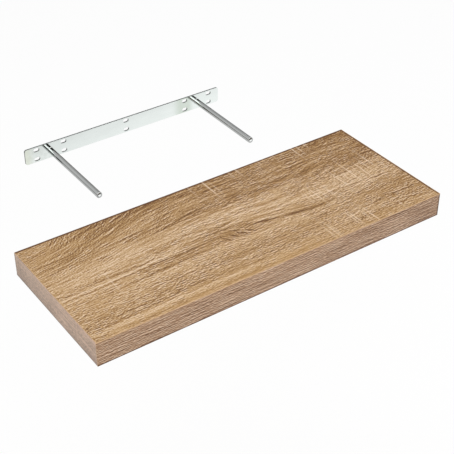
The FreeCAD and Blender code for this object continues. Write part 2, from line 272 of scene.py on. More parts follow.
def shade(tone, factor):
    """A colour made darker or lighter."""
    return tuple(min(1.0, part * factor) for part in tone)


def empty_tree(owner):
    """A pin on the emptied node tree of a material or a world."""
    owner.use_nodes = True
    owner.node_tree.nodes.clear()
    return Pin(owner.node_tree)


def new_finish(name, origin=(0.0, 0.0, 0.0), turn=0.0):
    """A new material, with a pin on its Object coordinates in millimetres, centred on a place and
    turned about Z."""
    material = bpy.data.materials.new(name)
    start = empty_tree(material)
    shift = Matrix.Rotation(turn, 3, "Z") @ (Vector(origin) / -MM)
    place = start.node("TexCoord", output="Object")
    place = start.node("Mapping", {"vector_type": "POINT"},
                       {"Vector": place, "Location": shift, "Rotation": (0.0, 0.0, turn),
                        "Scale": (1 / MM, 1 / MM, 1 / MM)})
    return material, place


def close_finish(material, place, tone, rough, height, depth, strength, **sockets):
    """Ends a material: colour, roughness and relief go to its Principled shader."""
    relief = place.node("Bump", values={"Strength": strength, "Distance": depth, "Height": height})
    shader = place.node("BsdfPrincipled", values={
        "Base Color": tone, "Roughness": rough, "Normal": relief, **sockets})
    place.node("OutputMaterial", values={"Surface": shader})
    return material


# The oak print's figure, seen from above with the wall side up, in millimetres from the middle of
# the board. Each row but those of SAW_CUTS is a soft ellipse and what it does there: x, y, half
# length, half width, tilt in degrees, amount.
# How far the grain is bent aside, in millimetres.
GRAIN_BENDS = (
    (140, -22, 190, 56, 0, 10),
    (-6, -22, 46, 26, -14, 5),
    (24, 11, 52, 26, 6, -5),
    (205, 60, 70, 42, 0, -5),
    (-120, -60, 210, 40, 0, -4),
)
# The direction of the fine grain, in degrees.
GRAIN_TURNS = (
    (-170, 66, 230, 74, 10, 13),
    (-175, 100, 150, 46, 16, 25),
    (-222, 112, 50, 30, 30, 44),
    (-14, -26, 42, 24, -14, -40),
    (72, -24, 84, 17, -11, -12),
)
# Darker and lighter areas, as a change of tone.
GRAIN_TONES = (
    (30, 122, 460, 82, 0, -0.22),
    (-175, 108, 90, 34, 24, -0.14),
    (-262, 104, 70, 26, 30, 0.06),
    (300, 66, 150, 100, 0, -0.24),
    (60, 46, 200, 20, 0, -0.13),
    (-255, 46, 70, 20, 0, -0.07),
    (-130, 76, 230, 16, 4, 0.07),
    (-60, 110, 120, 18, 0, -0.13),
    (-200, 14, 80, 16, 0, 0.13),
    (20, 14, 60, 16, 0, -0.06),
    (-108, -76, 80, 16, 0, -0.07),
    (220, -42, 90, 16, 0, 0.05),
    (-235, 4, 250, 60, 4, 0.19),
    (-20, 22, 170, 26, 2, 0.12),
    (13, 11, 20, 10, 0, 0.16),
    (95, 9, 110, 12, -3, 0.13),
    (222, 0, 108, 34, -3, 0.13),
    (-12, -24, 64, 22, -12, -0.10),
    (262, -66, 120, 50, 0, -0.09),
    (-110, -106, 330, 7, 0, 0.13),
    (-120, -52, 280, 22, 0, 0.09),
    (-200, 44, 50, 20, 0, -0.07),
    (200, 44, 55, 20, 0, -0.07),
    (-160, -44, 110, 16, 0, 0.10),
    (-30, 74, 70, 16, 0, 0.09),
    (-110, -16, 90, 12, 0, 0.07),
    (180, -108, 50, 14, 0, -0.06),
)
# Single lines of the figure and the short strokes of the knot, as a change of tone.
GRAIN_LINES = (
    (-222, -17, 120, 3, 2, 0.41),
    (-240, -27, 90, 3, 2.5, 0.46),
    (-205, -22, 150, 2.8, 2, -0.35),
    (-140, -36, 110, 3.4, 2.5, -0.46),
    (-90, -22, 90, 3.2, 2, -0.32),
    (-215, -10, 130, 2.8, 1.5, -0.22),
    (40, -23, 38, 3.2, -12, -0.84),
    (93, -33, 40, 3.2, -8, -0.78),
    (136, -36, 34, 3, 0, -0.49),
    (44, -18.5, 40, 2.6, -12, 0.32),
    (100, -8, 130, 3, -4, 0.27),
    (62, 8, 90, 3, -5, 0.30),
    (230, -20, 100, 3, -4, 0.41),
    (240, -27, 90, 2.8, -3, 0.35),
    (236, -23.5, 90, 2.6, -3.5, -0.27),
    (-142, 57, 50, 3, 5, -0.51),
    (-138, 49, 56, 3, 7, -0.43),
    (-60, 52, 60, 2.8, 9, -0.41),
    (-160, -103, 260, 3.4, 0, 0.32),
    (-120, -112, 240, 3, 0, -0.22),
    (-35, -28, 10, 1.8, -48, -0.85),
    (-21, -28, 11, 1.9, -50, -1.00),
    (-7, -29, 11, 1.9, -46, -1.00),
    (6, -29, 11, 1.8, -40, -0.80),
    (-14, -28, 10, 1.8, -48, 0.30),
    (0, -28, 10, 1.8, -44, 0.25),
)
# How strongly long fine lines show.
LINE_BUNDLES = (
    (-215, -19, 150, 15, 2, 2.5),
    (232, -22, 120, 11, -3, 2),
    (-150, -106, 230, 9, 0, 1.8),
    (92, 8, 90, 12, -3, 0.9),
)
# How much of the yellow tint there is.
AMBER_TINTS = (
    (-60, -118, 420, 26, 0, 0.60),
    (-260, -40, 130, 60, 0, 0.30),
    (-190, 78, 180, 34, 0, 0.20),
)
# Pale marks of the saw across the grain: x, y, half length along Y, amount.
SAW_CUTS = (
    (19, 97, 30, 1), (28, 88, 18, 0.5), (-8, 110, 22, 0.35),
    (68, 112, 16, 0.5), (82, 112, 20, 0.7), (125, 113, 13, 0.4),
    (135, 113, 13, 0.4), (155, 113, 12, 0.35), (193, 106, 22, 0.9),
    (203, 110, 18, 0.6), (218, 114, 10, 0.5), (199, -2, 30, 0.8),
    (213, -1, 18, 0.6), (226, 5, 34, 1), (237, -6, 22, 0.5),
    (247, -3, 24, 0.9), (260, 15, 15, 0.8), (271, 21, 20, 0.9),
    (283, -6, 18, 0.6), (127, -11, 16, 0.6), (135, -13, 18, 0.6),
    (143, -12, 24, 0.9), (153, -14, 18, 0.6), (165, -14, 20, 0.7),
    (-220, -24, 26, 0.6), (98, -100, 22, 0.7), (105, -98, 26, 0.8),
    (109, -104, 16, 0.5), (148, -92, 18, 0.6), (153, -94, 20, 0.8),
    (170, -98, 18, 0.6), (178, -104, 22, 0.9), (233, -104, 12, 0.5),
)
# How strongly the faint lines across the grain show round the marks of the saw.
SAW_WEAVE = (
    (232, 4, 84, 40, 1),
    (146, -13, 44, 26, 0.8),
    (144, -100, 70, 26, 0.8),
    (100, 112, 70, 16, 0.6),
    (198, 106, 26, 24, 0.7),
)
# A soft ellipse fades to nothing this much further out than the half sizes of its row, and a mark
# of the saw has this half width and is drawn this much longer than its row says.
ELLIPSE_FADE = 1.5
SAW_HALF_WIDTH = 1.5
SAW_STRETCH = 1.4
# A line of grain's fringes lie this many widths to its sides, and have this share of its strength.
FRINGE_SHIFT = 1.35
FRINGE_SHARE = 0.28


def strokes(run, across, length, width, seed):
    """Lines of grain, each with fringes of the other tone along both its sides, about 0."""
    rows = [run.noise((run / length, across / width + shift, seed), detail=1)
            for shift in (-FRINGE_SHIFT, 0.0, FRINGE_SHIFT)]
    return rows[1] - (rows[0] + rows[2]) * FRINGE_SHARE - (0.5 - FRINGE_SHARE)


def oak_print(name, origin, turn, look, painted_edge_shade):
    """Sawn oak as printed foil: bent grain, pores, pale bands and marks of the saw across them. A
    dark rim of painted shade, if wanted, runs along the wall side and the right end."""
    material, place = new_finish(name, origin, turn)
    x, y, _ = place.split()
    flat = place.vector(x, y)

    def patch(at_x, at_y, half_length, half_width, tilt=0.0):
        """1 in the middle of a soft ellipse and nearly 0 from its edge on."""
        local = place.node("Mapping", {"vector_type": "TEXTURE"},
                           {"Vector": flat, "Location": (at_x, at_y, 0.0),
                            "Rotation": (0.0, 0.0, math.radians(tilt)),
                            "Scale": (half_length * ELLIPSE_FADE, half_width * ELLIPSE_FADE, 1.0)})
        return place.node("TexGradient", {"gradient_type": "QUADRATIC_SPHERE"},
                          {"Vector": local}, "Fac")

    def patches(start, table):
        """Adds to a value the amount of each patch of a table."""
        for *where, amount in table:
            start = place.maths("MULTIPLY_ADD", patch(*where), amount, start)
        return start

    # The grain follows lines of equal "line": straight in front, rising to the rear on the left.
    rise = y.step(-50.0, 180.0) * x.step(-345.0, -20.0)
    line = patches(y - 64.0 * rise, GRAIN_BENDS)
    line = line + (place.noise((x / 150, y / 52, 3.1), detail=1) - 0.5) * 12.0
    wave = (place.noise((x / 9, y / 7, 1.7), detail=1) - 0.5) * (0.3 + 1.4 * x.step(60.0, 220.0))
    line = line + wave

    bands = place.noise((x / 190, line / 12, 0.4))
    flames = place.noise((x / 110, line / 5, 5.2), detail=1)
    threads = strokes(x, line, 48.0, 1.8, 2.2)
    rear = patch(-190.0, 96.0, 250.0, 90.0, 12.0)
    waved = y + wave
    straight = strokes(x, waved, 4.2, 1.3, 6.6) * 1.3 + strokes(x, waved, 16.0, 1.3, 7.9) * 0.9
    pores = place.noise((x / 5, waved / 0.9, 9.1), detail=1).step(0.60, 0.74)
    grain = straight
    for *where, degrees in GRAIN_TURNS:
        turned = place.node("VectorRotate", {"rotation_type": "Z_AXIS"},
                            {"Vector": flat, "Angle": math.radians(-degrees)})
        run, across, _ = turned.split()
        across = across + wave
        share = patch(*where).step(0.10, 0.55)
        there = (strokes(run, across, 3.8, 1.4, degrees) * 1.2
                 + strokes(run, across, 20.0, 1.6, degrees + 1.3) * 0.9)
        grain = grain + (there - grain) * share
    calm = place.noise((x / 34, y / 13, 4.4), detail=1).step(0.34, 0.62)
    grain = grain * (0.60 + 0.65 * calm)

    tone = 0.47 + (bands - 0.5) * 0.54 + threads * 0.94 + grain * 1.56
    tone = tone + (flames - 0.5) * (0.15 + 0.50 * rear) - pores * 0.06
    # Painted shade: a dark rim along the wall side and the right end of the top.
    if painted_edge_shade:
        rear_rim_painted_shade, right_rim_painted_shade = y.step(113.0, 114.8), x.step(295.8, 297.4)
        tone = tone - rear_rim_painted_shade * 0.95 - right_rim_painted_shade * 0.80
    tone = patches(tone, GRAIN_TONES + GRAIN_LINES)
    tone = tone + strokes(x, line, 85.0, 1.15, 8.3) * patches(0.0, LINE_BUNDLES)
    tone = tone + strokes(y, x, 6.0, 1.2, 3.3) * (0.55 + 1.3 * patches(0.0, SAW_WEAVE))
    oak = tone.ramp((0.0, look.oak_dark), (0.25, look.oak_brown), (0.50, look.oak_middle),
                    (0.72, look.oak_light), (1.0, look.oak_cream))

    oak = place.blend(patches(0.0, AMBER_TINTS), oak, look.oak_amber)
    marks = patches(0.0, [(at_x, at_y, SAW_HALF_WIDTH, reach * SAW_STRETCH, amount)
                          for at_x, at_y, reach, amount in SAW_CUTS])
    breaks = place.noise((x / 2.6, y / 3.2, 2.9), detail=1).step(0.30, 0.56)
    oak = place.blend(marks * (0.80 + 0.46 * breaks), oak, look.oak_cream)

    rough = 0.44 + straight * 0.12 + pores * 0.12
    height = straight * 0.45 - pores * 0.8
    return close_finish(material, place, oak, rough, height, depth=0.0001, strength=0.35)


def front_print(look):
    """Lengthwise oak streaks of the front band, pinker than the board's face, with painted shade
    along its lower edge and right end, and a pale top line that is partly its trimmed edge and
    partly a painted highlight.
    """
    material, place = new_finish("front_band_print", board_middle())
    x, y, z = place.split()
    drift = place.noise((x / 120, z / 26, 1.0), detail=1)
    line = z + (drift - 0.5) * 6.0
    bands = place.noise((x / 150, line / 9, 0.5), detail=1)
    threads = strokes(x, line, 60.0, 1.25, 3.0)
    flecks = strokes(x, line, 6.0, 1.15, 5.0)
    pores = place.noise((x / 7, line / 0.9, 8.0), detail=1).step(0.60, 0.72)
    # Painted shade: darker along the band's lower edge and towards its right end.
    lower_rim_painted_shade, right_rim_painted_shade = 1.0 - z.step(-18.4, -16.6), x.step(296.6, 298.0)
    tone = (0.51 + (bands - 0.5) * 0.22 + threads * 2.50 + flecks * 2.15 - pores * 0.08
            - x.step(-60.0, 320.0) * 0.09 - lower_rim_painted_shade * 0.62 - right_rim_painted_shade * 0.55)
    oak = tone.ramp((0.0, look.front_dark), (0.5, look.front_middle), (1.0, look.front_light))
    # A pale line along the top edge: partly the band's trimmed edge, partly a painted highlight on
    # its rounding.
    upper_edge_and_painted_highlight = z.step(18.0, 19.2)
    oak = place.blend(upper_edge_and_painted_highlight * 0.75, oak, look.band_edge)
    rough = 0.46 + flecks * 0.15 + pores * 0.1
    height = threads * 0.5 + flecks * 0.4 - pores * 0.6
    return close_finish(material, place, oak, rough, height, depth=0.0001, strength=0.35)


def end_print(look):
    """Nearly plain band of the board's ends: a soft mottle with faint lengthwise streaks, and
    painted shade along its lower and rear edges.
    """
    material, place = new_finish("end_band_print", board_middle())
    x, y, z = place.split()
    clouds = place.noise((y / 40, z / 14, 2.0))
    streaks = place.noise((y / 60, z / 2, 4.0))
    grain = place.noise((y / 4.5, z / 1.9, x / 0.8))
    # Painted shade: darker along the band's lower edge and its rear edge.
    lower_rim_painted_shade, rear_rim_painted_shade = 1.0 - z.step(-18.2, -16.2), y.step(113.6, 115.6)
    tone = (0.54 + (clouds - 0.5) * 0.7 + (streaks - 0.5) * 1.9 + (grain - 0.5) * 2.4 + z * 0.011
            - lower_rim_painted_shade * 0.75 - rear_rim_painted_shade * 0.50)
    beige = tone.ramp((0.0, look.end_dark), (1.0, look.end_light))
    blush = place.noise((y / 60, z / 30, 7.0), detail=1).step(0.4, 0.7)
    beige = place.blend(blush * 0.25, beige, look.end_blush)
    rough = 0.47 + (grain - 0.5) * 0.15
    return close_finish(material, place, beige, rough, grain + streaks * 0.6,
                        depth=0.00006, strength=0.4)


def band_edge(look):
    """Cut and buffed edge of the bands."""
    material, place = new_finish("band_edge")
    x, y, z = place.split()
    buff = place.noise((x / 3, y / 3, z / 3))
    fine = place.noise(place, scale=2.2)
    tone = place.blend(buff.step(0.3, 0.7), look.band_edge, look.oak_middle)
    return close_finish(material, place, tone, 0.42 + (fine - 0.5) * 0.2, fine,
                        depth=0.00004, strength=0.3)


def fibreboard(look):
    """Sawn fibreboard edge: felted fibres with faint marks of the saw across the edge."""
    material, place = new_finish("fibreboard_edge")
    x, y, z = place.split()
    felt = place.noise((x / 0.9, y / 0.9, z / 0.35), detail=4, rough=0.7)
    clouds = place.noise(place, scale=0.09)
    saw = place.noise((x / 0.7, y / 0.7, z / 14), detail=1)
    value = 0.5 + (felt - 0.5) * 1.3 + (clouds - 0.5) * 0.5 + (saw - 0.5) * 0.4
    tone = value.ramp((0.0, shade(look.fibre, 0.62)), (0.5, look.fibre),
                      (1.0, shade(look.fibre, 1.28)))
    return close_finish(material, place, tone, 0.82 + (felt - 0.5) * 0.2, felt + saw * 0.5,
                        depth=0.0002, strength=0.6)


def chipboard(look):
    """Raw chipboard: pressed flakes in many tans, glue-dark gaps, fine dust and small holes darkened
    with painted shade.
    """
    material, place = new_finish("raw_chipboard")
    x, y, z = place.split()
    bend = place.noise(place, scale=0.12)
    squeezed = place.vector(x / 3.4 + bend, y / 2.6 + bend, z / 1.3 + bend * 2.0)
    paleness, hue, lift = place.cells(squeezed, output="Color").split()
    gaps = place.cells(squeezed, feature="DISTANCE_TO_EDGE").step(0.0, 0.10)
    dust = place.noise(place, scale=1.6, detail=3, rough=0.65)
    fibre = place.noise((x / 2.5, y / 2.5, z / 0.35))
    value = paleness * 0.75 + (dust - 0.5) * 0.5 + (fibre - 0.5) * 0.35 + 0.14
    tone = value.ramp((0.0, look.chip_dark), (0.45, look.fibre), (1.0, look.chip_light))
    tone = place.blend(hue * 0.20, tone, look.chip_red)
    tone = place.blend((1.0 - gaps) * 0.6, tone, look.chip_dark)
    # Painted shade: the small holes are darkened as well as sunk by the bump.
    holes = place.cells(place.vector(x / 5, y / 4, z / 2.4)).step(0.10, 0.30)
    tone = place.blend((1.0 - holes) * 0.7, tone, look.chip_hole_painted_shade)
    height = gaps * 0.5 + lift * 0.35 + dust * 0.3 + holes * 0.8
    return close_finish(material, place, tone, 0.80 + (dust - 0.5) * 0.2, height,
                        depth=0.0005, strength=0.7)


def kraft_paper(look):
    """Kraft paper of the honeycomb: felted fibres, soft clouds and small dark flecks."""
    material, place = new_finish("kraft_core")
    x, y, z = place.split()
    fibres = place.noise((x / 0.6, y / 0.6, z / 2.4), detail=4, rough=0.7)
    flecks = place.noise(place, scale=1.1, detail=1).step(0.66, 0.74)
    clouds = place.noise(place, scale=0.08)
    value = 0.2 + (fibres - 0.5) * 0.8 + (clouds - 0.5) * 0.5
    tone = place.blend(value, look.kraft, shade(look.kraft, 0.6))
    tone = place.blend(flecks * 0.5, tone, look.kraft_fleck)
    return close_finish(material, place, tone, 0.85 + (fibres - 0.5) * 0.15, fibres,
                        depth=0.0001, strength=0.5)


def zinc_flat(look):
    """Bright zinc on cold-drawn flat bar: lengthwise draw lines, a slow waviness, the yellow and
    green tints of its passivation, and a painted reflection that makes it lighter towards the right
    and the bottom."""
    material, place = new_finish("bright_zinc_plate")
    x, y, z = place.split()
    draw = place.noise((x / 60, y / 0.4, z / 0.30), detail=3, rough=0.6)
    waves = place.noise((x / 55, y / 20, z / 16), detail=1)
    clouds = place.noise((x / 26, y / 9, z / 9), detail=3, rough=0.6)
    mottle = place.noise(place, scale=0.16, detail=3, rough=0.65)
    spangle = place.noise(place, scale=1.9)
    left = 1.0 - x.step(-196.0, -110.0)
    # Painted reflection: the zinc is lighter towards the right and the bottom, more so at the left
    # end, as a blend of darker and lighter copies of its colour; its clouds and draw lines are the
    # zinc's own.
    light = (0.50 + x * 0.0012 - z * (0.011 + left * 0.018) + (clouds - 0.5) * 0.45
             + (draw - 0.5) * 0.15)
    tone = place.blend(light, shade(look.zinc_plate, 0.90), shade(look.zinc_plate, 1.19))
    bloom = left * mottle.step(0.40, 0.60)
    tone = place.blend(bloom * 0.55, tone, look.zinc_bloom)
    yellow = 1.0 - x.step(-190.0, -172.0)
    tone = place.blend(yellow * 0.5, tone, look.zinc_yellow)
    green = x.step(92.0, 112.0) * (1.0 - x.step(126.0, 140.0))
    tone = place.blend(green * (0.45 + clouds * 0.5), tone, look.zinc_green)
    rough = 0.06 + (draw - 0.5) * 0.05 + (clouds - 0.5) * 0.06 + (spangle - 0.5) * 0.03
    height = waves * 1.6 + draw * 0.07 + spangle * 0.03
    return close_finish(material, place, tone, rough, height, depth=0.00005, strength=0.6,
                        Metallic=1.0)


def zinc_cut(look):
    """Punched and sheared edges of the plate: darker, rougher zinc with marks across the edge."""
    material, place = new_finish("cut_zinc_edge")
    x, y, z = place.split()
    shear = place.noise((x / 0.30, y / 2.5, z / 0.30), detail=3, rough=0.6)
    clouds = place.noise(place, scale=0.5)
    burnish = y.step(-2.4, -0.6)
    tone = place.blend(burnish * 0.5 + (shear - 0.5) * 0.8 + (clouds - 0.5) * 0.4,
                       shade(look.zinc_plate, 0.34), shade(look.zinc_plate, 0.66))
    rough = 0.30 + burnish * 0.15 + (shear - 0.5) * 0.20
    return close_finish(material, place, tone, rough, shear + clouds * 0.3, depth=0.00008,
                        strength=0.6, Metallic=1.0)


def zinc_round(look):
    """Bright zinc on a round bar: fine draw lines along it, and on its cut tip a painted highlight,
    a pale spot a little up and to the left, with the rest of the tip darker.
    """
    material, place = new_finish("bright_zinc_rod")
    x, y, z = place.split()
    draw = place.noise((x / 0.35, y / 46, z / 0.35), detail=3, rough=0.6)
    clouds = place.noise((x / 6, y / 24, z / 6), detail=3, rough=0.6)
    spangle = place.noise(place, scale=1.7)
    tone = place.blend(clouds.step(0.3, 0.7) * 0.5, look.zinc_rod, shade(look.zinc_rod, 0.90))
    # Painted highlight: a pale spot on the cut tip, a little up and to the left of the rod's axis,
    # with the tip darker round it.
    across = x - place.maths("SIGN", x) * (rod_axis("right_rod") / MM)
    painted_highlight_falloff = place.node("VectorMath", {"operation": "DISTANCE"},
                      {0: place.vector(across, z), 1: (-0.5, 0.6, 0.0)}, "Value").step(1.7, 2.7)
    tip_with_painted_highlight = place.blend(painted_highlight_falloff, shade(look.zinc_rod, 1.25), shade(look.zinc_rod, 0.56))
    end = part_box("left_rod")[0].y / MM
    tone = place.blend(1.0 - y.step(end + 0.3, end + 0.9), tone, tip_with_painted_highlight)
    rough = 0.10 + (draw - 0.5) * 0.10 + (clouds - 0.5) * 0.08 + (spangle - 0.5) * 0.04
    height = draw * 0.30 + spangle * 0.05
    return close_finish(material, place, tone, rough, height, depth=0.00004, strength=0.5,
                        Metallic=1.0)


# ---------------------------------------------------------------------------------------------
# Modelling
# ---------------------------------------------------------------------------------------------

def let_go():
    """Back in object mode with nothing selected."""
    if bpy.context.object and bpy.context.object.mode != "OBJECT":
        bpy.ops.object.mode_set(mode="OBJECT")
    bpy.ops.object.select_all(action="DESELECT")


def take(piece):
    """Makes one object the only selected and active one."""
    let_go()
    piece.select_set(True)
    bpy.context.view_layer.objects.active = piece


def settle(piece):
    """Puts a piece's place and size into its mesh, so that its object stands at the origin."""
    take(piece)
    bpy.ops.object.transform_apply(location=True, rotation=True, scale=True)


def named(name):
    """Names the object that the last operator made."""
    piece = bpy.context.object
    piece.name = piece.data.name = name
    return piece


def start_box(name, low, high):
    """A box between two corners, with its place in its mesh."""
    let_go()
    low, high = Vector(low), Vector(high)
    bpy.ops.mesh.primitive_cube_add(size=1.0, location=(low + high) / 2, scale=high - low)
    piece = named(name)
    settle(piece)
    return piece


def choose(piece, kind, wanted):
    """In edit mode, selects the faces, edges or vertices that wanted() is true for."""
    bpy.ops.mesh.select_mode(type=kind)
    bpy.ops.mesh.select_all(action="DESELECT")
    mesh = bmesh.from_edit_mesh(piece.data)
    parts = {"FACE": mesh.faces, "EDGE": mesh.edges, "VERT": mesh.verts}[kind]
    for part in parts:
        if wanted(part):
            part.select_set(True)
    mesh.select_flush_mode()
    bmesh.update_edit_mesh(piece.data)


def edit(piece):
    """Edit mode on one piece."""
    take(piece)
    bpy.ops.object.mode_set(mode="EDIT")


def along(edge, axis):
    """True for an edge that runs along an axis."""
    run = edge.verts[1].co - edge.verts[0].co
    return abs(run[axis]) > 0.99 * run.length


def use(piece, kind, **settings):
    """Adds a modifier and applies it."""
    take(piece)
    made = piece.modifiers.new(kind.lower(), kind)
    for name, value in settings.items():
        setattr(made, name, value)
    bpy.ops.object.modifier_apply(modifier=made.name)


def break_edges(piece, width, segments=2):
    """Breaks a piece's sharp edges, with flat faces left flat."""
    take(piece)
    bpy.ops.object.shade_smooth()
    use(piece, "BEVEL", width=width, segments=segments, limit_method="ANGLE",
        angle_limit=math.radians(40), harden_normals=True)


def drill(piece, places, front, back, sides=48):
    """Cuts holes along Y through a piece, between its front and back. Each place is (x, z, radius,
    reach): the halves of a round hole moved apart along X by a reach each way, which makes it a
    slot."""
    front, back = front - DRILL_OVERSHOOT, back + DRILL_OVERSHOOT
    cutters = []
    for x, z, radius, reach in places:
        let_go()
        bpy.ops.mesh.primitive_cylinder_add(
            vertices=sides, radius=radius, depth=back - front, location=(x, (front + back) / 2, z),
            rotation=(math.pi / 2, math.pi / sides, 0.0))
        cutter = named("drill")
        settle(cutter)
        cutters.append(cutter)
        for side in (-1.0, 1.0):
            edit(cutter)
            choose(cutter, "VERT", lambda vertex: (vertex.co.x - x) * side > 0.0)
            bpy.ops.transform.translate(value=(side * reach, 0.0, 0.0))
            bpy.ops.object.mode_set(mode="OBJECT")
    take(cutters[0])
    for cutter in cutters:
        cutter.select_set(True)
    if len(cutters) > 1:
        bpy.ops.object.join()
    cutter = bpy.context.object
    use(piece, "BOOLEAN", operation="DIFFERENCE", solver="EXACT", object=cutter)
    bpy.data.objects.remove(cutter)


def lathe(name, profile, axis_x, steps=72):
    """Turns a profile of (distance along Y, radius) about an axis along Y, closed at both ends."""
    let_go()
    bpy.ops.mesh.primitive_plane_add(size=MM, location=(axis_x, profile[0][0], profile[0][1]))
    piece = named(name)
    settle(piece)
    edit(piece)
    bpy.ops.mesh.select_mode(type="VERT")
    bpy.ops.mesh.select_all(action="SELECT")
    bpy.ops.mesh.merge(type="CENTER")
    for before, after in zip(profile, profile[1:]):
        bpy.ops.mesh.extrude_vertices_move(TRANSFORM_OT_translate={
            "value": (0.0, after[0] - before[0], after[1] - before[1])})
    bpy.ops.mesh.select_all(action="SELECT")
    bpy.ops.mesh.spin(steps=steps, angle=2 * math.pi, center=(axis_x, 0.0, 0.0),
                      axis=(0.0, 1.0, 0.0))
    bpy.ops.mesh.select_all(action="SELECT")
    bpy.ops.mesh.remove_doubles(threshold=WELD)
    bpy.ops.mesh.normals_make_consistent(inside=False)
    bpy.ops.object.mode_set(mode="OBJECT")
    return piece


def wear(piece, *finishes):
    """Gives a piece its materials, the first of them all over."""
    piece.data.materials.clear()
    for finish in finishes:
        piece.data.materials.append(finish)


def second_finish(piece, wanted):
    """Puts the piece's second material on the faces that wanted() is true for."""
    edit(piece)
    choose(piece, "FACE", wanted)
    piece.active_material_index = 1
    bpy.ops.object.material_slot_assign()
    bpy.ops.object.mode_set(mode="OBJECT")


def fit(piece, body, slot, *nodes):
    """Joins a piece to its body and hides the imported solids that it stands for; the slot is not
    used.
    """
    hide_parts(*nodes)
    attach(piece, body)


# ---------------------------------------------------------------------------------------------
# Operators, and the fixed places and sizes that they use
# ---------------------------------------------------------------------------------------------

CAMERA_PLACE = Vector((-0.7917, -1.4393, 0.9455))
CAMERA_LOOK = Vector((0.4664, 0.6680, -0.5799))
CAMERA_LENS = 86.72
CAMERA_SENSOR = 36.0
FLOOR_SIZE = 9.0
FLOOR_MIDDLE = (0.0, -0.3)
# Square lamps, aimed at the board: name, place, length of a side in metres, power in watts.
LAMPS = (
    ("key_light", (-1.75, -2.40, 2.05), 2.4, 34.0),
    ("top_light", (0.6, 0.1, 2.9), 3.3, 40.5),
    ("side_light", (2.2, -1.2, 1.6), 2.0, 10.0),
)
WHITE = (1.0, 1.0, 1.0)
BLACK = (0.0, 0.0, 0.0)
PAPER = (0.92, 0.92, 0.92)
# The world's grey light, and how much of the paper floor's look is white of its own.
WORLD_LIGHT = 0.62
FLOOR_GLOW = 0.88

# A rod's profile, as pairs of a place along Y and a radius in metres. From the wall plate's front
# face: the straight end of the rod, then the collar that its riveting raised, as added radius.
ROD_COLLAR = ((-0.020, 0.0), (-0.0010, 0.0), (-0.0006, 0.0), (-0.0002, 0.00018), (0.0001, 0.00050))
# From the wall: the riveted tenon, slightly dished.
ROD_RIVET = ((-0.0005, TENON_RADIUS), (-0.0002, 0.0045), (0.0, 0.0042), (-0.00005, 0.0030),
             (-0.00020, 0.0012), (-0.00022, 0.0))
# How far behind the plate's front face the tenon starts; rings of vertices on the shaft, from the
# tip; how far behind the tip's rounding the shaft has its full radius; and the rounding's steps.
TENON_START = 0.0004
SHAFT_RINGS = (0.020, 0.080)
SHAFT_START = 0.0003
TIP_STEPS = 6
# The underside's figure is the top's, turned and moved by this.
UNDERSIDE_SHIFT = Vector((0.03, 0.012, 0.0))
# A face gets a piece's second finish if its normal has less than this along the main face's.
SIDE_FACING = 0.3
BAND_FACING = 0.55


